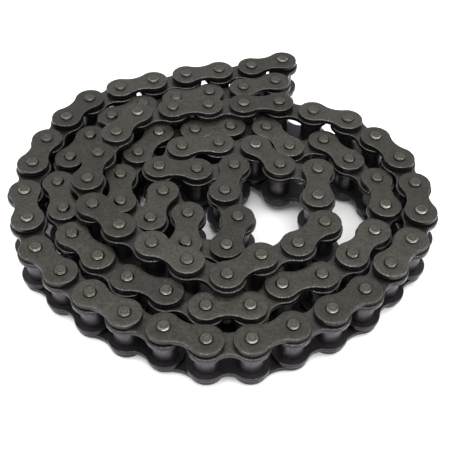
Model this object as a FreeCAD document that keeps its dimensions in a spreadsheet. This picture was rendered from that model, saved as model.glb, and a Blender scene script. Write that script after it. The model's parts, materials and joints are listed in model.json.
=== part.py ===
# Motorcycle drive chain, 12.70 mm pitch, 94 links, endless, lying on its side
# folded double and rolled into a coil.  All lengths are in millimetres.
# +Z is up: every pin stands vertical.  The origin is at the bottom centre of
# the coil's bounding box.
import FreeCAD, Part
import math
import os
import Sketcher

doc = FreeCAD.newDocument("drive_chain")

# ---------------------------------------------------------------- dimensions
sheet = doc.addObject("Spreadsheet::Sheet", "Sizes")
SIZES = [
    ("pitch", 12.70),             # pin centre to pin centre
    ("inner_width", 7.85),        # clear width between the inner plates
    ("plate_thickness", 1.60),    # inner and outer plates alike
    ("side_play", 0.45),          # inner plate to outer plate, each side
    ("pin_radius", 1.98),
    ("pin_half_length", 8.35),
    ("pin_end_chamfer", 0.35),
    ("bush_radius", 2.825),
    ("bush_bore_radius", 2.03),   # 0.05 mm running clearance on the pin
    ("roller_radius", 3.885),
    ("roller_bore_radius", 2.875),  # 0.05 mm running clearance on the bush
    ("roller_half_width", 3.80),
    ("roller_edge_chamfer", 0.20),
    ("outer_end_radius", 5.25),
    ("outer_waist_half", 3.65),
    ("inner_end_radius", 5.85),
    ("inner_waist_half", 3.80),
    ("plate_edge_chamfer", 0.20),
]
for row, (alias, value) in enumerate(SIZES, start=1):
    sheet.set("A%d" % row, alias)
    sheet.set("B%d" % row, "%.4f" % value)
    sheet.setAlias("B%d" % row, alias)
doc.recompute()


def size(alias):
    return float(sheet.get(alias))


pitch = size("pitch")

# ------------------------------------------------------------- chain layout
# Pin centres in the XY plane, in order along the chain.  Pins 1 and 2 belong
# to the first outer link, pins 2 and 3 to the first inner link, and so on;
# the last inner link joins pin 94 back to pin 1.
PINS = [
    (22.5550, 65.8681), (10.5949, 61.5963), (-1.6989, 58.4099), (-14.0093, 55.2883),
    (-26.0350, 51.2048), (-37.8163, 46.4620), (-48.2200, 39.1781), (-55.0288, 28.4575),
    (-60.2012, 16.8584), (-63.0226, 4.4757), (-63.5456, -8.2136), (-60.4837, -20.5392),
    (-55.9995, -32.4213), (-47.0916, -41.4736), (-37.3693, -49.6449), (-26.7055, -56.5426),
    (-15.1430, -61.7963), (-3.1132, -65.8681), (9.5770, -65.3672), (21.2503, -60.3643),
    (32.5946, -54.6547), (42.8201, -47.1228), (51.2699, -37.6416), (59.0389, -27.5951),
    (63.5456, -15.7215), (63.3510, -3.0230), (59.8549, 9.1863), (53.0645, 19.9185),
    (44.2310, 29.0431), (32.2878, 33.3617), (20.1694, 37.1612), (7.5208, 36.0194),
    (-5.1168, 34.7622), (-17.6816, 32.9139), (-29.9151, 29.5032), (-36.2905, 18.5194),
    (-41.1579, 6.7892), (-43.1284, -5.7570), (-39.9610, -18.0557), (-30.7589, -26.8085),
    (-20.3417, -34.0729), (-9.4216, -40.5568), (2.3897, -45.2242), (12.4734, -37.5035),
    (23.7445, -31.6509), (32.5146, -22.4653), (31.2632, -9.8271), (32.0397, 2.8491),
    (19.5482, 5.1407), (11.5316, 14.9908), (-1.0827, 16.4645), (-13.5882, 14.2503),
    (-20.7855, 3.7867), (-8.1141, 2.9362), (4.2867, 5.6768), (1.2694, -6.6596),
    (5.5674, -18.6102), (2.1362, -30.8379), (-10.4841, -29.4178), (-10.3292, -16.7187),
    (-18.7708, -7.2304), (-22.0256, -19.5062), (-32.2189, -11.9308), (-33.4256, 0.7117),
    (-28.5582, 12.4419), (-22.1828, 23.4257), (-9.5584, 24.8080), (2.9519, 26.9949),
    (15.6516, 26.9086), (23.2942, 16.7656), (35.3537, 20.7479), (43.3379, 10.8716),
    (51.8016, 1.4029), (53.1929, -11.2206), (48.3162, -22.9470), (40.4559, -32.9222),
    (30.6806, -41.0297), (18.6655, -45.1440), (9.1691, -53.5764), (-3.5209, -54.0780),
    (-15.1951, -49.0781), (-26.9128, -44.1808), (-36.5879, -35.9541), (-45.5469, -26.9528),
    (-50.0287, -15.0700), (-53.6835, -2.9073), (-51.3659, 9.5793), (-45.9585, 21.0706),
    (-39.5806, 32.0529), (-29.1764, 39.3360), (-17.1557, 43.4337), (-4.9900, 47.0786),
    (7.5128, 49.3076), (19.4851, 53.5448),
]
# Mid-height of each outer link and of each inner link.  The links climb and
# drop by their side play where one strand rides over another.
OUTER_LEVEL = [
    10.030, 10.269, 10.270, 10.464, 10.073, 9.232, 8.392, 8.371, 8.827, 8.649,
    9.075, 9.915, 10.647, 11.015, 11.153, 11.993, 11.986, 12.191, 12.822, 13.412,
    13.236, 12.536, 11.696, 10.855, 10.573, 9.964, 9.955, 9.448, 9.405, 8.746,
    9.115, 8.881, 8.350, 8.676, 8.683, 8.350, 8.460, 8.642, 8.386, 8.915,
    9.226, 9.129, 8.394, 8.350, 8.350, 8.350, 9.190,
]
INNER_LEVEL = [
    10.150, 9.850, 10.045, 10.268, 9.653, 8.812, 8.381, 8.599, 8.738, 8.862,
    9.495, 10.281, 10.831, 11.084, 11.573, 12.406, 12.080, 12.611, 13.117, 13.324,
    12.956, 12.116, 11.275, 10.714, 10.268, 10.375, 9.701, 9.427, 9.076, 8.695,
    8.998, 8.461, 8.256, 8.263, 8.517, 8.405, 8.551, 8.514, 8.650, 8.806,
    9.177, 8.762, 7.974, 8.350, 8.256, 8.770, 9.610,
]
LINKS = len(PINS)


def link_placement(index):
    """Frame of a link: origin on its first pin at mid-height, +X to its second pin."""
    x0, y0 = PINS[index]
    x1, y1 = PINS[(index + 1) % LINKS]
    angle = math.atan2(y1 - y0, x1 - x0)
    cx, cy = (x0 + x1) / 2.0, (y0 + y1) / 2.0
    level = OUTER_LEVEL[index // 2] if index % 2 == 0 else INNER_LEVEL[index // 2]
    base = FreeCAD.Vector(
        cx - pitch / 2.0 * math.cos(angle), cy - pitch / 2.0 * math.sin(angle), level
    )
    turn = FreeCAD.Rotation(FreeCAD.Vector(0, 0, 1), math.degrees(angle))
    return FreeCAD.Placement(base, turn)


# ------------------------------------------------------------------ builders
def origin_plane(body, role):
    return next(f for f in body.Origin.OriginFeatures if f.Role == role)


def new_body(label):
    body = doc.addObject("PartDesign::Body", label)
    body.Label = label
    return body


def plate_body(label, kind, offset):
    """Figure-eight side plate with two holes, its lower face at the given height."""
    r_end = "Sizes.%s_end_radius" % kind
    waist = "Sizes.%s_waist_half" % kind
    hole = "Sizes.pin_radius" if kind == "outer" else "Sizes.bush_radius"
    p, r, w = pitch, size(kind + "_end_radius"), size(kind + "_waist_half")
    h = size("pin_radius") if kind == "outer" else size("bush_radius")
    ra = ((p / 2) ** 2 + w * w - r * r) / (2 * (r - w))
    waist_radius = (
        "((Sizes.pitch / 2)^2 + %s^2 - %s^2) / (2 * (%s - %s))"
        % (waist, r_end, r_end, waist)
    )
    body = new_body(label)
    sketch = body.newObject("Sketcher::SketchObject", label + "_outline")
    sketch.AttachmentSupport = [(origin_plane(body, "XY_Plane"), "")]
    sketch.MapMode = "FlatFace"
    sketch.setExpression("AttachmentOffset.Base.z", offset)
    up = FreeCAD.Vector(0, 0, 1)
    a = math.atan2(w + ra, p / 2)  # slope from an end centre to a waist arc centre

    def arc(cx, cy, radius, start, end):
        circle = Part.Circle(FreeCAD.Vector(cx, cy, 0), up, radius)
        return sketch.addGeometry(Part.ArcOfCircle(circle, start, end), False)

    left = arc(0, 0, r, a, 2 * math.pi - a)
    right = arc(p, 0, r, math.pi + a, 3 * math.pi - a)
    top = arc(p / 2, w + ra, ra, math.pi + a, 2 * math.pi - a)
    bottom = arc(p / 2, -w - ra, ra, a, math.pi - a)
    c1 = sketch.addGeometry(Part.Circle(FreeCAD.Vector(0, 0, 0), up, h), False)
    c2 = sketch.addGeometry(Part.Circle(FreeCAD.Vector(p, 0, 0), up, h), False)
    add = sketch.addConstraint
    # arc ends: 1 = start, 2 = end, 3 = centre; -1 is the sketch origin and X axis
    add(Sketcher.Constraint("Coincident", left, 3, -1, 1))
    add(Sketcher.Constraint("PointOnObject", right, 3, -1))
    n_pitch = add(Sketcher.Constraint("DistanceX", -1, 1, right, 3, p))
    add(Sketcher.Constraint("Tangent", left, 1, top, 1))
    add(Sketcher.Constraint("Tangent", top, 2, right, 2))
    add(Sketcher.Constraint("Tangent", right, 1, bottom, 1))
    add(Sketcher.Constraint("Tangent", bottom, 2, left, 2))
    n_left = add(Sketcher.Constraint("Radius", left, r))
    n_right = add(Sketcher.Constraint("Radius", right, r))
    n_top = add(Sketcher.Constraint("Radius", top, ra))
    n_bottom = add(Sketcher.Constraint("Radius", bottom, ra))
    add(Sketcher.Constraint("Coincident", c1, 3, left, 3))
    add(Sketcher.Constraint("Coincident", c2, 3, right, 3))
    n_c1 = add(Sketcher.Constraint("Radius", c1, h))
    n_c2 = add(Sketcher.Constraint("Radius", c2, h))
    for n, expression in (
        (n_pitch, "Sizes.pitch"), (n_left, r_end), (n_right, r_end),
        (n_top, waist_radius), (n_bottom, waist_radius), (n_c1, hole), (n_c2, hole),
    ):
        sketch.setExpression("Constraints[%d]" % n, expression)
    pad = body.newObject("PartDesign::Pad", label + "_pad")
    pad.Profile = sketch
    pad.setExpression("Length", "Sizes.plate_thickness")
    doc.recompute()
    edges = []
    for i, edge in enumerate(pad.Shape.Edges, start=1):
        # outline edges only: the hole rims and the upright edges stay sharp
        flat = abs(edge.Vertexes[0].Z - edge.Vertexes[-1].Z) < 1e-6
        if flat and len(edge.Vertexes) == 2 and not edge.isClosed():
            edges.append("Edge%d" % i)
    chamfer = body.newObject("PartDesign::Chamfer", label + "_edge")
    chamfer.Base = (pad, edges)
    chamfer.setExpression("Size", "Sizes.plate_edge_chamfer")
    body.Tip = chamfer
    return body


def turned_body(label, profile, expressions, pair):
    """A turned piece about the Z axis; a pair repeats it one pitch along X."""
    body = new_body(label)
    if pair:
        body.AllowCompound = True
    sketch = body.newObject("Sketcher::SketchObject", label + "_profile")
    sketch.AttachmentSupport = [(origin_plane(body, "XZ_Plane"), "")]
    sketch.MapMode = "FlatFace"
    count = len(profile)
    for i in range(count):
        (x0, z0), (x1, z1) = profile[i], profile[(i + 1) % count]
        sketch.addGeometry(
            Part.LineSegment(FreeCAD.Vector(x0, z0, 0), FreeCAD.Vector(x1, z1, 0)), False
        )
    for i in range(count):
        sketch.addConstraint(Sketcher.Constraint("Coincident", i, 2, (i + 1) % count, 1))
    for i in range(count):
        nx = sketch.addConstraint(Sketcher.Constraint("DistanceX", -1, 1, i, 1, profile[i][0]))
        nz = sketch.addConstraint(Sketcher.Constraint("DistanceY", -1, 1, i, 1, profile[i][1]))
        ex, ez = expressions[i]
        sketch.setExpression("Constraints[%d]" % nx, ex)
        sketch.setExpression("Constraints[%d]" % nz, ez)
    turn = body.newObject("PartDesign::Revolution", label + "_turn")
    turn.Profile = sketch
    turn.ReferenceAxis = (sketch, ["V_Axis"])
    turn.Angle = 360.0
    body.Tip = turn
    if pair:
        doc.recompute()
        row = body.newObject("PartDesign::LinearPattern", label + "_row")
        row.Originals = [turn]
        row.Direction = (sketch, ["H_Axis"])
        row.Occurrences = 2
        row.setExpression("Length", "Sizes.pitch")
        body.Tip = row
    return body


def pin_profile():
    r, h, c = size("pin_radius"), size("pin_half_length"), size("pin_end_chamfer")
    p = [(0, -h), (r - c, -h), (r, -h + c), (r, h - c), (r - c, h), (0, h)]
    R, H, C = "Sizes.pin_radius", "Sizes.pin_half_length", "Sizes.pin_end_chamfer"
    e = [
        ("0", "-" + H), (R + " - " + C, "-" + H), (R, C + " - " + H),
        (R, H + " - " + C), (R + " - " + C, H), ("0", H),
    ]
    return p, e


def ring_profile(outer, bore, half, edge):
    ro, rb, h = size(outer), size(bore), half[0]
    c = size(edge) if edge else 0.0
    O, B, H = "Sizes." + outer, "Sizes." + bore, half[1]
    if not edge:
        p = [(rb, -h), (ro, -h), (ro, h), (rb, h)]
        e = [(B, "-(" + H + ")"), (O, "-(" + H + ")"), (O, H), (B, H)]
        return p, e
    C = "Sizes." + edge
    p = [(rb, -h), (ro - c, -h), (ro, -h + c), (ro, h - c), (ro - c, h), (rb, h)]
    e = [
        (B, "-(" + H + ")"), (O + " - " + C, "-(" + H + ")"), (O, C + " - (" + H + ")"),
        (O, H + " - " + C), (O + " - " + C, H), (B, H),
    ]
    return p, e


INNER_FACE = "Sizes.inner_width / 2"
BUSH_HALF = "Sizes.inner_width / 2 + Sizes.plate_thickness"
bush_half = size("inner_width") / 2 + size("plate_thickness")
OUTER_FACE = "Sizes.inner_width / 2 + Sizes.plate_thickness + Sizes.side_play"
outer_face = bush_half + size("side_play")
OFFSET = {
    ("inner", "upper"): INNER_FACE,
    ("inner", "lower"): "-(" + BUSH_HALF + ")",
    ("outer", "upper"): OUTER_FACE,
    ("outer", "lower"): "-(" + OUTER_FACE + " + Sizes.plate_thickness)",
}


def pins_body(label, pair=True):
    p, e = pin_profile()
    return turned_body(label, p, e, pair)


def bushes_body(label, pair=True):
    p, e = ring_profile("bush_radius", "bush_bore_radius", (bush_half, BUSH_HALF), None)
    return turned_body(label, p, e, pair)


def roller_body(label):
    p, e = ring_profile(
        "roller_radius", "roller_bore_radius",
        (size("roller_half_width"), "Sizes.roller_half_width"), "roller_edge_chamfer",
    )
    return turned_body(label, p, e, False)


parts = []


def place(obj, placement):
    obj.Placement = placement
    parts.append(obj)
    return obj


# ------------------------------------------- free end: twelve hinged links
# Links 1 to 12 lie on the outside of the coil.  Odd links are outer links
# (two plates pressed on two pins), even links are inner links (two plates
# pressed on two bushes, with a roller turning on each bush).
FREE_LINKS = 12
closing_cut = None
for number in range(1, FREE_LINKS + 1):
    at = link_placement(number - 1)
    name = "link_%02d" % number
    kind = "outer" if number % 2 else "inner"
    for side in ("upper", "lower"):
        label = "%s_%s_plate_%s" % (name, kind, side)
        place(plate_body(label, kind, OFFSET[kind, side]), at)
    if kind == "outer" and number > 1:
        place(pins_body(name + "_pins"), at)
    elif kind == "outer":
        # The chain is opened at pin 1: this pin is parted at the inner faces of
        # the outer plates, and its middle stays in the bush of the last link.
        whole = pins_body("pins_before_parting")
        gap = doc.addObject("Part::Cylinder", "pin_parting")
        gap.setExpression("Radius", "Sizes.pin_radius + 1")
        gap.setExpression("Height", "2 * (" + OUTER_FACE + ")")
        gap.setExpression("Placement.Base.z", "-(" + OUTER_FACE + ")")
        closing_cut = doc.addObject("Part::Cut", name + "_pins")
        closing_cut.Base = whole
        closing_cut.Tool = gap
        closing_cut.Label = name + "_pins"
        place(closing_cut, at)
    else:
        place(bushes_body(name + "_bushes"), at)
        for end in (1, 2):
            x, y = PINS[number - 2 + end]
            spot = FreeCAD.Placement(
                FreeCAD.Vector(x, y, INNER_LEVEL[(number - 1) // 2]), at.Rotation
            )
            place(roller_body("%s_roller_%d" % (name, end)), spot)
doc.recompute()

# ------------------------------------------------------- the rest of the coil
# One master of each piece, bound to the sheet; every other link of the coil
# is a copy of these masters at its own place.
master = {
    "outer_upper": plate_body("master_outer_plate_upper", "outer", OFFSET["outer", "upper"]),
    "outer_lower": plate_body("master_outer_plate_lower", "outer", OFFSET["outer", "lower"]),
    "inner_upper": plate_body("master_inner_plate_upper", "inner", OFFSET["inner", "upper"]),
    "inner_lower": plate_body("master_inner_plate_lower", "inner", OFFSET["inner", "lower"]),
    "pin": pins_body("master_pin", pair=False),
    "bush": bushes_body("master_bush", pair=False),
    "roller": roller_body("master_roller"),
}
doc.recompute()
one_pitch = FreeCAD.Placement(FreeCAD.Vector(pitch, 0, 0), FreeCAD.Rotation())


def copy_of(key, placement):
    shape = master[key].Shape.copy()
    shape.Placement = placement.multiply(shape.Placement)
    return shape


groups = {
    "coil_outer_plates_upper": [], "coil_outer_plates_lower": [], "coil_pins": [],
    "coil_inner_plates_upper": [], "coil_inner_plates_lower": [], "coil_bushes": [],
    "coil_rollers": [],
}
for index in range(FREE_LINKS, LINKS):
    at = link_placement(index)
    if index % 2 == 0:
        groups["coil_outer_plates_upper"].append(copy_of("outer_upper", at))
        groups["coil_outer_plates_lower"].append(copy_of("outer_lower", at))
        groups["coil_pins"].append(copy_of("pin", at))
        groups["coil_pins"].append(copy_of("pin", at.multiply(one_pitch)))
    else:
        groups["coil_inner_plates_upper"].append(copy_of("inner_upper", at))
        groups["coil_inner_plates_lower"].append(copy_of("inner_lower", at))
        for spot in (at, at.multiply(one_pitch)):
            groups["coil_bushes"].append(copy_of("bush", spot))
            groups["coil_rollers"].append(copy_of("roller", spot))
for label, shapes in groups.items():
    group = doc.addObject("Part::Feature", label)
    group.Label = label
    group.Shape = Part.makeCompound(shapes)
    parts.append(group)

# Middle of the parted pin, in the second bush of the last inner link
core = doc.addObject("Part::Cylinder", "closing_pin_core")
core.Label = "closing_pin_core"
core.setExpression("Radius", "Sizes.pin_radius")
core.setExpression("Height", "2 * (" + BUSH_HALF + ")")
place(
    core,
    FreeCAD.Placement(
        FreeCAD.Vector(PINS[0][0], PINS[0][1], INNER_LEVEL[-1] - bush_half),
        FreeCAD.Rotation(),
    ),
)
doc.recompute()

# -------------------------------------------------------------------- checks
for obj in doc.Objects:
    if "Invalid" in obj.State or "Error" in obj.State:
        raise RuntimeError("object %s failed: %s" % (obj.Label, obj.State))
labels = [obj.Label for obj in parts]
if len(set(labels)) != len(labels):
    raise RuntimeError("two sub-parts share a label")
for obj in parts:
    if obj.Shape.isNull() or not obj.Shape.isValid():
        raise RuntimeError("sub-part %s has no valid shape" % obj.Label)

os.makedirs("parts", exist_ok=True)
for obj in parts:
    obj.Shape.exportStep(os.path.join("parts", obj.Label + ".step"))

box = FreeCAD.BoundBox()
for obj in parts:
    box.add(obj.Shape.BoundBox)
print("sub-parts", len(parts), "solids", sum(len(obj.Shape.Solids) for obj in parts))
print("box %.3f %.3f %.3f to %.3f %.3f %.3f" % (
    box.XMin, box.YMin, box.ZMin, box.XMax, box.YMax, box.ZMax))
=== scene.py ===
import math
import json
import random
import bmesh
import bpy
import numpy as np
from mathutils import Matrix, Vector


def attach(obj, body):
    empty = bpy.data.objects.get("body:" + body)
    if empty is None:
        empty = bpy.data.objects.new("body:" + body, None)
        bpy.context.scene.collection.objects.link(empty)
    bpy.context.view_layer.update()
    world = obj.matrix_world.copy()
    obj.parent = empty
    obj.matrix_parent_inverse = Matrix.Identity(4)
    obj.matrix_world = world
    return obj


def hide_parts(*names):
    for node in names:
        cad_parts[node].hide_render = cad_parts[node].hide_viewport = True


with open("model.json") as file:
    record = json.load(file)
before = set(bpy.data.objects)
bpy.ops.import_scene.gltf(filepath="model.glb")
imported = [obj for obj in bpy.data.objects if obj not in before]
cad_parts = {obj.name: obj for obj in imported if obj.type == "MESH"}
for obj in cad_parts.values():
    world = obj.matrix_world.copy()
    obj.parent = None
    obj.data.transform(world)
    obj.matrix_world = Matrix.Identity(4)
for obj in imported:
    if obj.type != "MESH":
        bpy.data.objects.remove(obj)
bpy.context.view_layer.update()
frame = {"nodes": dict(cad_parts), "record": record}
NODES = frame["nodes"]
MM = 0.001
rng = random.Random(94)

# ------------------------------------------------------------ chain dimensions
PITCH = 12.70 * MM
PLATE = 1.60 * MM
PIN_R = 1.98 * MM
ROLLER_R = 3.885 * MM
BUSH_R = 2.825 * MM
BUSH_BORE = 2.03 * MM


# ------------------------------------------------- where the CAD has its pieces
def islands(ob):
    """The connected pieces of a mesh, as arrays of vertex positions."""
    me = ob.data
    n = len(me.vertices)
    co = np.empty(n * 3)
    me.vertices.foreach_get("co", co)
    co = co.reshape(n, 3)
    # vertices split at sharp edges are joined by place first
    key = np.round(co / 2e-6).astype(np.int64)
    _, first, inverse = np.unique(key, axis=0, return_index=True, return_inverse=True)
    inverse = inverse.ravel()
    ed = np.empty(len(me.edges) * 2, dtype=np.int64)
    me.edges.foreach_get("vertices", ed)
    ed = inverse[ed.reshape(-1, 2)]
    label = np.arange(len(first))
    while True:
        low = np.minimum(label[ed[:, 0]], label[ed[:, 1]])
        new = label.copy()
        np.minimum.at(new, ed[:, 0], low)
        np.minimum.at(new, ed[:, 1], low)
        new = new[new]
        if (new == label).all():
            break
        label = new
    pts = co[first]
    return [pts[label == v] for v in np.unique(label)]


def boxes(name):
    """(centre, low, high) of each solid of a CAD node, in a steady order."""
    out = []
    for p in islands(NODES[name]):
        lo, hi = p.min(0), p.max(0)
        out.append(((lo + hi) / 2, lo, hi))
    out.sort(key=lambda b: (round(b[0][0], 5), round(b[0][1], 5), round(b[0][2], 5)))
    return out


PIN_NODES = [n for n in NODES if n.endswith("_pins")]
pin_xy = []
for n in PIN_NODES:
    for c, lo, hi in boxes(n):
        if not any(math.hypot(c[0] - x, c[1] - y) < 1e-3 for x, y in pin_xy):
            pin_xy.append((float(c[0]), float(c[1])))
pin_xy = np.array(sorted(pin_xy))


def span_of(centre):
    """The two pins that a plate with this centre sits on."""
    d = np.hypot(pin_xy[:, 0] - centre[0], pin_xy[:, 1] - centre[1])
    near = np.where(np.abs(d - PITCH / 2) < 0.4 * MM)[0]
    best, pair = 1e9, None
    for a in near:
        for b in near:
            if a < b:
                mid = (pin_xy[a] + pin_xy[b]) / 2
                gap = np.hypot(*(mid - centre[:2]))
                gap += abs(np.hypot(*(pin_xy[a] - pin_xy[b])) - PITCH)
                if gap < best:
                    best, pair = gap, (pin_xy[a], pin_xy[b])
    if pair is None or best > 0.25 * MM:
        raise RuntimeError("no pins under the plate at %s" % (centre,))
    return pair


# -------------------------------------------------------------- piece meshes
def half_outline(r_end, waist, inset):
    """The right half of a figure-eight plate's outline, shrunk by inset: from the
    middle of the lower waist round the end to the middle of the upper waist."""
    p = PITCH / 2
    ra = (p * p + waist * waist - r_end * r_end) / (2 * (r_end - waist))
    a = math.atan2(waist + ra, p)
    r, R = r_end - inset, ra + inset
    n_waist, n_end = 7, 34
    pts = []
    for i in range(n_waist):
        t = math.pi / 2 + (a - math.pi / 2) * i / n_waist
        pts.append((R * math.cos(t), -(waist + ra) + R * math.sin(t)))
    for i in range(n_end + 1):
        t = -(math.pi - a) + 2 * (math.pi - a) * i / n_end
        pts.append((p + r * math.cos(t), r * math.sin(t)))
    for i in range(n_waist - 1, -1, -1):
        x, y = pts[i]
        pts.append((x, -y))
    return pts


def strip(bm, a, b, closed=False):
    n = len(a)
    for i in range(n if closed else n - 1):
        j = (i + 1) % n
        bm.faces.new((a[i], a[j], b[j], b[i]))


def plate_mesh(name, r_end, waist, hole_r, round_mm, burr_mm, dish_mm, crown_mm):
    """A stamped side plate, its pressed face up: the face falls gently towards a
    rolled-over edge, the lower edge is sheared, and a shallow coined ring lies
    round each hole."""
    bm = bmesh.new()
    rim = bm.verts.layers.float.new("piece_rim")
    h = PLATE / 2
    r_up, r_dn, dish, crown = round_mm * MM, burr_mm * MM, dish_mm * MM, crown_mm * MM
    # (inset, z, rim weight) from the top, over the edge, to the bottom; the rim weight drives the edge wear and the
    # painted highlight in the plate shader
    sec = [(1.25 * MM, h, 0.0), (0.90 * MM, h - 0.10 * crown, 0.0), (0.58 * MM, h - 0.42 * crown, 0.0)]
    for i in range(6):
        t = math.radians(8) + math.radians(82) * i / 5
        sec.append((r_up * (1 - math.sin(t)), h - crown - r_up * (1 - math.cos(t)), (0.2, 0.7, 1, 0.9, 0.5, 0.2)[i]))
    sec.append((0.0, h - 0.60 * PLATE, 0.0))
    for i in range(4):
        t = math.pi / 2 * i / 3
        sec.append((0.02 * MM + r_dn * (1 - math.cos(t)), -h + r_dn * (1 - math.sin(t)), (0.2, 0.9, 0.9, 0.3)[i]))
    sec.append((r_dn + 0.09 * MM, -h, 0.0))
    hole = [
        (hole_r + 1.25 * MM, h), (hole_r + 0.98 * MM, h - dish), (hole_r + 0.09 * MM, h - dish),
        (hole_r, h - dish - 0.09 * MM), (hole_r, -h + 0.06 * MM), (hole_r + 0.06 * MM, -h),
    ]
    for sgn in (1, -1):
        rings = []
        for inset, z, rim_weight in sec:
            rings.append([bm.verts.new((sgn * x, sgn * y, z)) for x, y in half_outline(r_end, waist, inset)])
            for v in rings[-1]:
                v[rim] = rim_weight
        for a, b in zip(rings, rings[1:]):
            strip(bm, a, b)
        loops = []
        for ring in (rings[0], rings[-1]):
            top, low, z = ring[-1].co, ring[0].co, ring[0].co.z
            mids = [bm.verts.new((0.0, top.y + (low.y - top.y) * i / 7, z)) for i in range(1, 7)]
            loops.append(ring + mids)
        cx = sgn * PITCH / 2
        angles = [math.atan2(v.co.y, v.co.x - cx) for v in loops[0]]
        circles = [[bm.verts.new((cx + r * math.cos(t), r * math.sin(t), z)) for t in angles] for r, z in hole]
        for a, b in zip(circles, circles[1:]):
            strip(bm, a, b, True)
        strip(bm, loops[0], circles[0], True)
        strip(bm, circles[-1], loops[1], True)
    bmesh.ops.remove_doubles(bm, verts=bm.verts, dist=5e-7)
    bmesh.ops.recalc_face_normals(bm, faces=bm.faces)
    me = bpy.data.meshes.new(name)
    bm.to_mesh(me)
    bm.free()
    return me


def turned_mesh(name, profile, n):
    """Revolves (radius, z) points about Z; a radius of 0 closes the end."""
    bm = bmesh.new()
    rings, caps = [], []
    for r, z in profile:
        if r < 1e-9:
            caps.append(bm.verts.new((0, 0, z)))
            rings.append(None)
        else:
            rings.append([
                bm.verts.new((r * math.cos(2 * math.pi * i / n), r * math.sin(2 * math.pi * i / n), z))
                for i in range(n)
            ])
            caps.append(None)
    closed = rings[0] is not None
    seq = list(range(len(profile))) + ([0] if closed else [])
    for a, b in zip(seq, seq[1:]):
        if rings[a] is None:
            for i in range(n):
                bm.faces.new((caps[a], rings[b][i], rings[b][(i + 1) % n]))
        elif rings[b] is None:
            for i in range(n):
                bm.faces.new((rings[a][(i + 1) % n], rings[a][i], caps[b]))
        else:
            for i in range(n):
                bm.faces.new((rings[a][i], rings[a][(i + 1) % n], rings[b][(i + 1) % n], rings[b][i]))
    bmesh.ops.recalc_face_normals(bm, faces=bm.faces)
    me = bpy.data.meshes.new(name)
    bm.to_mesh(me)
    bm.free()
    return me


def pin_profile(h0, h1, head0=True, head1=True):
    """A pin from z = h0 to h1; a riveted head is bevelled and carries the round
    mark of the riveting punch."""
    def head(h, s):
        return [
            (0.0, h - s * 0.040 * MM), (0.55 * MM, h - s * 0.034 * MM), (0.88 * MM, h - s * 0.026 * MM),
            (1.06 * MM, h - s * 0.058 * MM), (1.22 * MM, h - s * 0.004 * MM), (1.30 * MM, h),
            (1.50 * MM, h), (1.55 * MM, h - s * 0.007 * MM),
            (1.59 * MM, h - s * 0.030 * MM), (1.62 * MM, h - s * 0.060 * MM), (1.89 * MM, h - s * 0.335 * MM),
            (1.935 * MM, h - s * 0.395 * MM), (1.965 * MM, h - s * 0.47 * MM), (PIN_R, h - s * 0.57 * MM),
        ]
    low = head(h0, -1) if head0 else [(0.0, h0), (PIN_R - 0.05 * MM, h0), (PIN_R, h0 + 0.05 * MM)]
    high = head(h1, 1) if head1 else [(0.0, h1), (PIN_R - 0.05 * MM, h1), (PIN_R, h1 - 0.05 * MM)]
    return low + list(reversed(high))


def rounded_tube(r_out, r_in, h, edge, steps=4):
    pts = []
    for s in (-1, 1):
        arc = []
        for i in range(steps + 1):
            t = math.pi / 2 * i / steps
            arc.append((r_out - edge * (1 - math.sin(t)), s * (h - edge * (1 - math.cos(t)))))
        pts += arc if s < 0 else list(reversed(arc))
    e2 = edge * 0.6
    pts += [(r_in + e2, h), (r_in, h - e2), (r_in, -h + e2), (r_in + e2, -h)]
    return pts


MESH = {
    "outer": plate_mesh("outer_plate", 5.25 * MM, 3.65 * MM, PIN_R, 0.28, 0.08, 0.03, 0.05),
    "inner": plate_mesh("inner_plate", 5.85 * MM, 3.80 * MM, BUSH_R, 0.25, 0.08, 0.02, 0.04),
    "roller": turned_mesh("roller", rounded_tube(ROLLER_R, 2.875 * MM, 3.80 * MM, 0.28 * MM), 64),
    "bush": turned_mesh("bush", rounded_tube(BUSH_R, BUSH_BORE, 5.525 * MM, 0.12 * MM, 2), 48),
}


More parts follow.
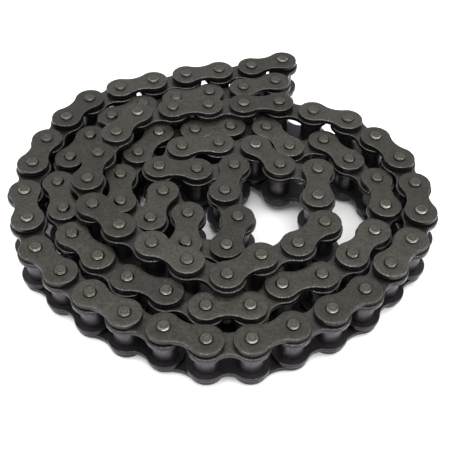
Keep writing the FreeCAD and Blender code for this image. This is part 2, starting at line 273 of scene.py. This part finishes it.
# ---------------------------------------------------------------- assembling
def joined(name, copies):
    """One mesh object from (mesh, matrix) pairs, with a random number per copy."""
    total_v = 0
    co_all, poly_all, sizes, r_all, o_all, w_all = [], [], [], [], [], []
    for me, m in copies:
        n = len(me.vertices)
        co = np.empty(n * 3)
        me.vertices.foreach_get("co", co)
        co = co.reshape(n, 3)
        M = np.array(m)
        moved = co @ M[:3, :3].T + M[:3, 3]
        loops = np.empty(len(me.loops), dtype=np.int64)
        me.loops.foreach_get("vertex_index", loops)
        tot = np.empty(len(me.polygons), dtype=np.int64)
        me.polygons.foreach_get("loop_total", tot)
        if np.linalg.det(M[:3, :3]) < 0:
            start = np.concatenate([[0], np.cumsum(tot)[:-1]])
            loops = np.concatenate([loops[s:s + k][::-1] for s, k in zip(start, tot)])
        co_all.append(moved)
        poly_all.append(loops + total_v)
        sizes.append(tot)
        r_all.append(np.full(n, rng.random()))
        o_all.append(co)
        rim_weight = np.zeros(n)
        if "piece_rim" in me.attributes:
            me.attributes["piece_rim"].data.foreach_get("value", rim_weight)
        w_all.append(rim_weight)
        total_v += n
    co = np.concatenate(co_all)
    loops = np.concatenate(poly_all)
    tot = np.concatenate(sizes)
    out = bpy.data.meshes.new(name)
    out.vertices.add(len(co))
    out.vertices.foreach_set("co", co.ravel())
    out.loops.add(len(loops))
    out.loops.foreach_set("vertex_index", loops)
    out.polygons.add(len(tot))
    out.polygons.foreach_set("loop_start", np.concatenate([[0], np.cumsum(tot)[:-1]]))
    out.polygons.foreach_set("loop_total", tot)
    out.update(calc_edges=True)
    out.validate()
    a = out.attributes.new("piece_random", "FLOAT", "POINT")
    a.data.foreach_set("value", np.concatenate(r_all))
    c = out.attributes.new("piece_rim", "FLOAT", "POINT")
    c.data.foreach_set("value", np.concatenate(w_all))
    b = out.attributes.new("piece_place", "FLOAT_VECTOR", "POINT")
    b.data.foreach_set("vector", np.concatenate(o_all).ravel() / MM)
    out.polygons.foreach_set("use_smooth", np.ones(len(tot), dtype=bool))
    ob = bpy.data.objects.new(name, out)
    bpy.context.scene.collection.objects.link(ob)
    return ob


def smooth(ob, degrees=38):
    """Soft shading that stays crisp at real corners."""
    ob.data.set_sharp_from_angle(angle=math.radians(degrees))
    return ob


def place_matrix(x, y, z, angle, flip=False):
    m = Matrix.Translation((x, y, z)) @ Matrix.Rotation(angle, 4, "Z")
    if flip:  # underside pieces show their pressed face downwards
        m = m @ Matrix.Rotation(math.pi, 4, "X")
    return m


def finish_piece(ob, node, material):
    ob.data.materials.append(material)
    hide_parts(node)
    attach(ob, BODY_OF[node])
    return ob


BODY_OF = {n: b for b, ns in frame["record"]["behaviour"]["bodies"].items() for n in ns}


# ------------------------------------------------------------------ materials
class Shader:
    """A small helper for node trees."""

    def __init__(self, name):
        self.mat = bpy.data.materials.new(name)
        self.mat.use_nodes = True
        self.t = self.mat.node_tree
        self.t.nodes.clear()
        self.out = self.t.nodes.new("ShaderNodeOutputMaterial")
        self.bsdf = self.t.nodes.new("ShaderNodeBsdfPrincipled")
        self.link(self.bsdf.outputs[0], self.out.inputs[0])

    def link(self, a, b):
        self.t.links.new(a, b)

    def node(self, kind, **props):
        n = self.t.nodes.new(kind)
        for k, v in props.items():
            setattr(n, k, v)
        return n

    def attr(self, name):
        n = self.node("ShaderNodeAttribute", attribute_name=name)
        return n

    def math(self, op, a, b=None, clamp=False):
        n = self.node("ShaderNodeMath", operation=op, use_clamp=clamp)
        for i, v in enumerate((a, b)):
            if v is None:
                continue
            if isinstance(v, (int, float)):
                n.inputs[i].default_value = v
            else:
                self.link(v, n.inputs[i])
        return n.outputs[0]

    def ramp(self, fac, stops, interpolation="LINEAR"):
        n = self.node("ShaderNodeValToRGB")
        n.color_ramp.interpolation = interpolation
        els = n.color_ramp.elements
        while len(els) > 1:
            els.remove(els[-1])
        for i, (pos, col) in enumerate(stops):
            e = els[0] if i == 0 else els.new(pos)
            e.position = pos
            e.color = (*col, 1) if len(col) == 3 else col
        self.link(fac, n.inputs[0])
        return n.outputs[0]

    def remap(self, fac, a, b, c, d):
        n = self.node("ShaderNodeMapRange")
        n.clamp = True
        for i, v in enumerate((None, a, b, c, d)):
            if v is not None:
                n.inputs[i].default_value = v
        self.link(fac, n.inputs[0])
        return n.outputs[0]

    def mix(self, fac, a, b, blend="MIX"):
        n = self.node("ShaderNodeMix", data_type="RGBA", blend_type=blend)
        n.clamp_factor = True
        if isinstance(fac, (int, float)):
            n.inputs[0].default_value = fac
        else:
            self.link(fac, n.inputs[0])
        for sock, v in ((n.inputs[6], a), (n.inputs[7], b)):
            if isinstance(v, tuple):
                sock.default_value = (*v, 1)
            else:
                self.link(v, sock)
        return n.outputs[2]

    def noise(self, vector, scale, detail=4, rough=0.55, distortion=0.0):
        n = self.node("ShaderNodeTexNoise")
        n.inputs["Scale"].default_value = scale
        n.inputs["Detail"].default_value = detail
        n.inputs["Roughness"].default_value = rough
        n.inputs["Distortion"].default_value = distortion
        self.link(vector, n.inputs["Vector"])
        return n.outputs["Fac"]

    def bump(self, height, strength, distance, normal=None):
        n = self.node("ShaderNodeBump")
        n.inputs["Strength"].default_value = strength
        n.inputs["Distance"].default_value = distance
        self.link(height, n.inputs["Height"])
        if normal is not None:
            self.link(normal, n.inputs["Normal"])
        return n.outputs[0]


def piece_coords(s):
    """Coordinates that travel with each piece, in millimetres, shifted per piece
    so that no two pieces carry the same marks."""
    place = s.attr("piece_place").outputs["Vector"]
    rnd = s.attr("piece_random").outputs["Fac"]
    shift = s.node("ShaderNodeCombineXYZ")
    s.link(s.math("MULTIPLY", rnd, 173.0), shift.inputs[0])
    s.link(s.math("MULTIPLY", rnd, 91.0), shift.inputs[1])
    s.link(s.math("MULTIPLY", rnd, 47.0), shift.inputs[2])
    add = s.node("ShaderNodeVectorMath", operation="ADD")
    s.link(place, add.inputs[0])
    s.link(shift.outputs[0], add.inputs[1])
    return place, add.outputs[0], rnd


def steel_plate(name, base, light, dark, rough_lo, rough_hi, hole_r):
    s = Shader(name)
    place, vec, rnd = piece_coords(s)
    sep = s.node("ShaderNodeSeparateXYZ")
    s.link(place, sep.inputs[0])
    # distance from the nearer hole's axis, for the pressing marks round it and the painted shadow at its rim
    ax = s.math("SUBTRACT", s.math("ABSOLUTE", sep.outputs[0]), PITCH / MM / 2)
    d = s.math("SQRT", s.math("ADD", s.math("MULTIPLY", ax, ax),
                              s.math("MULTIPLY", sep.outputs[1], sep.outputs[1])))
    # the stamped rim: 1 on the sheared side faces, 0 on the flat faces
    side = s.remap(s.math("ABSOLUTE", sep.outputs[2]), 0.52, 0.70, 1.0, 0.0)
    cloud = s.noise(vec, 0.16, 4, 0.55, 0.4)
    mottle = s.noise(vec, 1.3, 5, 0.62, 0.2)
    grain = s.noise(vec, 3.0, 4, 0.66)
    fine = s.noise(vec, 15.0, 3, 0.6)
    col = s.ramp(mottle, [(0.39, dark), (0.50, base), (0.62, light)])
    col = s.mix(s.remap(grain, 0.46, 0.66, 0.0, 0.85), col, tuple(c * 0.74 for c in dark))
    col = s.mix(s.remap(fine, 0.52, 0.74, 0.0, 0.60), col, tuple(c * 1.15 for c in light))
    col = s.mix(s.remap(cloud, 0.40, 0.68, 0.0, 0.35), col, dark)
    tan = s.remap(s.noise(vec, 0.33, 5, 0.65, 0.6), 0.50, 0.68, 0.0, 0.40)
    col = s.mix(tan, col, (light[0] * 1.02, light[1] * 0.90, light[2] * 0.76))
    bloom = s.remap(s.noise(vec, 0.75, 5, 0.65, 0.8), 0.50, 0.66, 0.0, 0.45)
    col = s.mix(bloom, col, (light[0] * 1.02, light[1] * 0.96, light[2] * 1.08))
    # faint marks where the plate was pressed home round the pin, and a broad darkening towards the hole
    wob = s.math("ADD", s.math("MULTIPLY", d, 7.5), s.math("MULTIPLY", mottle, 2.2))
    ring = s.math("MULTIPLY", s.remap(s.math("SINE", wob), 0.1, 1.0, 0.0, 1.0),
                  s.remap(d, hole_r + 0.3, hole_r + 2.0, 0.34, 0.0))
    ring = s.math("ADD", ring, s.remap(d, hole_r + 0.2, hole_r + 1.7, 0.16, 0.0))
    col = s.mix(ring, col, dark)
    # painted shadow: a thin dark ring at the foot of the pin or bush round each hole
    hole_rim_shadow = s.remap(d, hole_r + 0.02, hole_r + 0.38, 0.62, 0.0)
    col = s.mix(hole_rim_shadow, col, tuple(c * 0.35 for c in dark))
    # the sheared side faces are painted darker and cooler, a painted shade, over a streaked shear texture
    stretch = s.node("ShaderNodeMapping")
    stretch.inputs["Scale"].default_value = (1.0, 1.0, 0.12)
    s.link(vec, stretch.inputs["Vector"])
    shear = s.noise(stretch.outputs[0], 6.0, 4, 0.65)
    cool_side_shade = (base[0] * 0.74, base[1] * 0.71, base[2] * 0.95)
    deep_side_shade = (dark[0] * 0.42, dark[1] * 0.40, dark[2] * 0.54)
    side_shade_col = s.ramp(shear, [(0.32, deep_side_shade), (0.62, cool_side_shade)])
    col = s.mix(side, col, side_shade_col)
    # the face towards the rollers is painted darker and a little violet, a painted shade
    inside = s.remap(sep.outputs[2], -0.79, -0.66, 1.0, 0.0)
    inside_shade_col = s.ramp(mottle, [(0.36, (dark[0] * 1.08, dark[1] * 1.03, dark[2] * 1.30)),
                           (0.64, (base[0] * 1.08, base[1] * 1.03, base[2] * 1.28))])
    col = s.mix(inside, col, inside_shade_col)
    # rims rubbed bright by handling, in patches; the lighter rim colour is also a painted highlight along the edges,
    # and the sparse brighter specks on it are worn spots and painted glints
    edge = s.attr("piece_rim").outputs["Fac"]
    worn_edge_and_highlight = s.math("MULTIPLY", edge, s.remap(s.noise(vec, 1.1, 4, 0.6), 0.45, 0.66, 0.12, 1.0))
    worn_highlight_col = (light[0] * 2.2, light[0] * 2.16, light[0] * 2.12)
    col = s.mix(s.math("MULTIPLY", worn_edge_and_highlight, 0.28), col, worn_highlight_col)
    speck_and_glint = s.math("MULTIPLY", edge, s.remap(s.noise(vec, 2.4, 3, 0.6), 0.56, 0.66, 0.0, 0.85))
    col = s.mix(speck_and_glint, col, (light[0] * 3.2, light[0] * 3.15, light[0] * 3.15))
    # each plate came out of the bath a little different
    hsv = s.node("ShaderNodeHueSaturation")
    s.link(s.remap(rnd, 0, 1, 0.80, 1.20), hsv.inputs["Value"])
    s.link(col, hsv.inputs["Color"])
    s.link(hsv.outputs[0], s.bsdf.inputs["Base Color"])
    rough = s.remap(s.noise(vec, 1.7, 5, 0.6), 0.3, 0.7, rough_lo, rough_hi)
    rough = s.math("SUBTRACT", rough, s.math("MULTIPLY", s.math("MAXIMUM", worn_edge_and_highlight, speck_and_glint), 0.16))
    rough = s.math("SUBTRACT", rough, s.math("MULTIPLY", side, 0.06))
    rough = s.math("ADD", rough, s.math("MULTIPLY", inside, 0.14))
    rough = s.math("ADD", rough, s.math("MULTIPLY", hole_rim_shadow, -0.12), clamp=True)
    s.link(rough, s.bsdf.inputs["Roughness"])
    s.bsdf.inputs["Metallic"].default_value = 0.92
    # stamped skin: crystal grain of the phosphate, the odd nick, slight waviness
    h = s.math("ADD", s.math("MULTIPLY", grain, 0.65), s.math("MULTIPLY", fine, 0.35))
    b1 = s.bump(h, 0.45, 0.00006)
    nick = s.remap(s.noise(vec, 1.9, 2, 0.5, 1.8), 0.665, 0.70, 1.0, 0.0)
    b2 = s.bump(nick, 0.35, 0.00004, b1)
    b3 = s.bump(s.noise(vec, 0.22, 2, 0.5), 0.5, 0.0006, b2)
    b4 = s.bump(s.math("MULTIPLY", shear, side), 0.5, 0.00007, b3)
    s.link(b4, s.bsdf.inputs["Normal"])
    return s.mat


def steel_pin(name):
    s = Shader(name)
    place, vec, rnd = piece_coords(s)
    sep = s.node("ShaderNodeSeparateXYZ")
    s.link(place, sep.inputs[0])
    d = s.math("SQRT", s.math("ADD", s.math("MULTIPLY", sep.outputs[0], sep.outputs[0]),
                              s.math("MULTIPLY", sep.outputs[1], sep.outputs[1])))
    mottle = s.noise(vec, 1.6, 5, 0.6, 0.4)
    fine = s.noise(vec, 10.0, 4, 0.65)
    base, light, dark = (0.0880, 0.0822, 0.0700), (0.1250, 0.1168, 0.1005), (0.0410, 0.0386, 0.0330)
    col = s.ramp(mottle, [(0.30, dark), (0.5, base), (0.72, light)])
    col = s.mix(s.remap(fine, 0.45, 0.75, 0.0, 0.5), col, dark)
    # turned rings on the end face, darker where the tool bit in
    wob = s.math("ADD", s.math("MULTIPLY", d, 11.0), s.math("MULTIPLY", mottle, 2.5))
    ring = s.remap(s.math("SINE", wob), 0.2, 1.0, 0.0, 0.38)
    col = s.mix(ring, col, dark)
    # the bevel is burnished by the riveting tool; its lighter colour, strongest on a few pins, is also a painted
    # highlight
    rim = s.remap(d, 1.44, 1.60, 0.0, 1.0)
    burnish_and_highlight = s.math("MULTIPLY", rim, s.remap(s.noise(vec, 0.7, 3, 0.6), 0.36, 0.60, 0.25, 1.0))
    burnish_and_highlight = s.math("MULTIPLY", burnish_and_highlight, s.remap(s.math("POWER", rnd, 4.0), 0.0, 0.7, 0.10, 1.0))
    col = s.mix(burnish_and_highlight, col, (0.285, 0.273, 0.250))
    # dirt in the round mark of the riveting punch
    lip = s.math("MULTIPLY", s.remap(d, 0.86, 1.04, 0.0, 1.0), s.remap(d, 1.06, 1.24, 1.0, 0.0))
    lip = s.math("MULTIPLY", lip, s.remap(s.noise(vec, 0.8, 3, 0.6), 0.36, 0.62, 0.10, 0.65))
    col = s.mix(lip, col, tuple(c * 0.55 for c in dark))
    s.link(col, s.bsdf.inputs["Base Color"])
    rough = s.remap(s.noise(vec, 2.4, 4, 0.6), 0.3, 0.7, 0.32, 0.46)
    rough = s.math("SUBTRACT", rough, s.math("MULTIPLY", rim, 0.24), clamp=True)
    s.link(rough, s.bsdf.inputs["Roughness"])
    s.bsdf.inputs["Metallic"].default_value = 1.0
    h = s.math("ADD", s.math("MULTIPLY", s.math("SINE", wob), 0.12), s.math("MULTIPLY", fine, 0.88))
    s.link(s.bump(h, 0.35, 0.00006), s.bsdf.inputs["Normal"])
    return s.mat


def steel_roller(name, base, light, dark, rough_lo, rough_hi, coat):
    s = Shader(name)
    place, vec, rnd = piece_coords(s)
    sep = s.node("ShaderNodeSeparateXYZ")
    s.link(place, sep.inputs[0])
    # drawn tube: long streaks along the axis, fine turning lines round it
    stretch = s.node("ShaderNodeMapping")
    stretch.inputs["Scale"].default_value = (1.0, 1.0, 0.22)
    s.link(vec, stretch.inputs["Vector"])
    streak = s.noise(stretch.outputs[0], 2.6, 5, 0.6, 0.2)
    turned = s.node("ShaderNodeMapping")
    turned.inputs["Scale"].default_value = (0.15, 0.15, 5.0)
    s.link(vec, turned.inputs["Vector"])
    lines = s.noise(turned.outputs[0], 2.0, 4, 0.6)
    smear = s.noise(vec, 0.55, 4, 0.55, 0.8)
    col = s.ramp(streak, [(0.28, dark), (0.5, base), (0.76, light)])
    col = s.mix(s.remap(smear, 0.45, 0.7, 0.0, 0.5), col, dark)
    s.link(col, s.bsdf.inputs["Base Color"])
    rough = s.remap(smear, 0.3, 0.7, rough_lo, rough_hi)
    s.link(rough, s.bsdf.inputs["Roughness"])
    s.bsdf.inputs["Metallic"].default_value = 0.95
    s.bsdf.inputs["Coat Weight"].default_value = coat
    s.bsdf.inputs["Coat Roughness"].default_value = 0.22
    h = s.math("ADD", s.math("MULTIPLY", lines, 0.6), s.math("MULTIPLY", streak, 0.4))
    s.link(s.bump(h, 0.22, 0.00004), s.bsdf.inputs["Normal"])
    return s.mat


MAT = {
    "outer": steel_plate("phosphated outer plate", (0.0532, 0.0498, 0.0434), (0.0703, 0.0663, 0.0586),
                         (0.0360, 0.0336, 0.0291), 0.32, 0.46, 1.98),
    "inner": steel_plate("phosphated inner plate", (0.0460, 0.0435, 0.0393), (0.0605, 0.0577, 0.0529),
                         (0.0302, 0.0285, 0.0252), 0.28, 0.42, 2.825),
    "pin": steel_pin("riveted pin end"),
    # the violet tint of the roller colours is a painted shade tint
    "roller": steel_roller("oiled roller", (0.0720, 0.0668, 0.0720), (0.0945, 0.0885, 0.0953),
                           (0.0420, 0.0382, 0.0420), 0.32, 0.46, 0.08),
    "bush": steel_roller("oiled bush", (0.0750, 0.0705, 0.0690), (0.1013, 0.0960, 0.0930),
                         (0.0450, 0.0420, 0.0405), 0.28, 0.42, 0.08),
}

# --------------------------------------------------------------------- pieces
made = []
for node in sorted(NODES):
    copies = []
    if "plate" in node:
        kind = "outer" if "outer" in node else "inner"
        lower = "lower" in node
        for c, lo, hi in boxes(node):
            a, b = span_of(c)
            mid = (a + b) / 2
            angle = math.atan2(b[1] - a[1], b[0] - a[0])
            if rng.random() < 0.5:
                angle += math.pi
            copies.append((MESH[kind], place_matrix(mid[0], mid[1], c[2], angle, lower)))
    elif "pin" in node:
        kind = "pin"
        for c, lo, hi in boxes(node):
            h = (hi[2] - lo[2]) / 2
            if h > 6 * MM:
                me = MESH.setdefault("pin_full", turned_mesh("pin", pin_profile(-8.35 * MM, 8.35 * MM), 46))
                flip = False
            elif node == "closing_pin_core":
                me = MESH.setdefault("pin_core", turned_mesh(
                    "pin_core", pin_profile(-h, h, False, False), 48))
                flip = False
            else:  # a parted end: riveted outwards, flat inwards
                me = MESH.setdefault("pin_end", turned_mesh(
                    "pin_end", pin_profile(-h, h, False, True), 48))
                others = [o for o in boxes(node) if abs(o[0][0] - c[0]) < 1e-4 and abs(o[0][1] - c[1]) < 1e-4]
                flip = c[2] < sum(o[0][2] for o in others) / len(others)
            copies.append((me, place_matrix(c[0], c[1], c[2], rng.random() * 6.283, flip)))
    elif "roller" in node:
        kind = "roller"
        for c, lo, hi in boxes(node):
            copies.append((MESH["roller"], place_matrix(c[0], c[1], c[2], rng.random() * 6.283)))
    else:
        kind = "bush"
        for c, lo, hi in boxes(node):
            copies.append((MESH["bush"], place_matrix(c[0], c[1], c[2], rng.random() * 6.283)))
    ob = smooth(joined("fine_" + node, copies))
    finish_piece(ob, node, MAT[kind])
    made.append(ob)

# ---------------------------------------------------------------------- stage
scene = bpy.context.scene
floor_me = bpy.data.meshes.new("floor")
S = 4.0
floor_me.from_pydata([(-S, -S, 0), (S, -S, 0), (S, S, 0), (-S, S, 0)], [], [(0, 1, 2, 3)])
floor = bpy.data.objects.new("floor", floor_me)
scene.collection.objects.link(floor)
floor.location.z = -0.00002
fs = Shader("studio floor")
fn = fs.noise(fs.node("ShaderNodeTexCoord").outputs["Object"], 35.0, 4, 0.5)
fs.link(fs.mix(fs.remap(fn, 0.3, 0.7, 0.0, 1.0), (0.91, 0.91, 0.91), (0.94, 0.94, 0.94)),
        fs.bsdf.inputs["Base Color"])
fs.bsdf.inputs["Roughness"].default_value = 0.65
fs.bsdf.inputs["Specular IOR Level"].default_value = 0.2
floor_me.materials.append(fs.mat)

world = bpy.data.worlds.new("studio")
scene.world = world
world.use_nodes = True
wt = world.node_tree
bg = wt.nodes["Background"]
bg.inputs[0].default_value = (1.0, 1.0, 1.0, 1)
# a white tent, brighter overhead than at its walls
sky = wt.nodes.new("ShaderNodeTexCoord")
sky_z = wt.nodes.new("ShaderNodeSeparateXYZ")
sky_up = wt.nodes.new("ShaderNodeMapRange")
wt.links.new(sky.outputs["Generated"], sky_z.inputs[0])
wt.links.new(sky_z.outputs[2], sky_up.inputs[0])
for i, v in ((1, 0.50), (2, 0.95), (3, 1.00), (4, 1.82)):
    sky_up.inputs[i].default_value = v
wt.links.new(sky_up.outputs[0], bg.inputs[1])


def area(name, location, target, size, power, color=(1, 1, 1)):
    light = bpy.data.lights.new(name, "AREA")
    light.shape = "RECTANGLE"
    light.size, light.size_y = size
    light.energy = power
    light.color = color
    ob = bpy.data.objects.new(name, light)
    scene.collection.objects.link(ob)
    ob.location = location
    ob.rotation_euler = (Vector(target) - Vector(location)).to_track_quat("-Z", "Y").to_euler()
    return ob


area("front softbox", (0.05, -0.58, 0.275), (0, 0, 0.01), (0.80, 0.15), 1.75, (1.0, 0.99, 0.975))
area("right softbox", (0.52, -0.30, 0.29), (0, 0, 0.01), (0.40, 0.17), 0.75, (0.97, 0.98, 1.0))
area("top softbox", (0.0, -0.20, 0.95), (0, -0.12, 0.0), (1.20, 0.80), 8.0, (1.0, 0.995, 0.985))

# --------------------------------------------------------------------- camera
CAM_F, CAM_EL, CAM_D, CAM_ROLL = 840.58, 45.984, 0.28398, 0.986
AIM = Vector((0.001543, -0.007377, 0.001336))
el = math.radians(CAM_EL)
forward = Vector((0, math.cos(el), -math.sin(el)))
right = Vector((1, 0, 0))
up = right.cross(forward)
roll = math.radians(CAM_ROLL)
r2 = math.cos(roll) * right + math.sin(roll) * up
u2 = -math.sin(roll) * right + math.cos(roll) * up
cam_data = bpy.data.cameras.new("camera")
cam_data.sensor_fit = "HORIZONTAL"
cam_data.sensor_width = 36.0
cam_data.lens = CAM_F / 450.0 * 36.0
cam_data.clip_start = 0.01
camera = bpy.data.objects.new("camera", cam_data)
scene.collection.objects.link(camera)
camera.matrix_world = Matrix((
    (r2.x, u2.x, -forward.x, 0), (r2.y, u2.y, -forward.y, 0), (r2.z, u2.z, -forward.z, 0), (0, 0, 0, 1)
))
camera.location = AIM - forward * CAM_D
scene.camera = camera

scene.view_settings.view_transform = "Standard"
scene.view_settings.look = "None"
scene.view_settings.exposure = 0.0
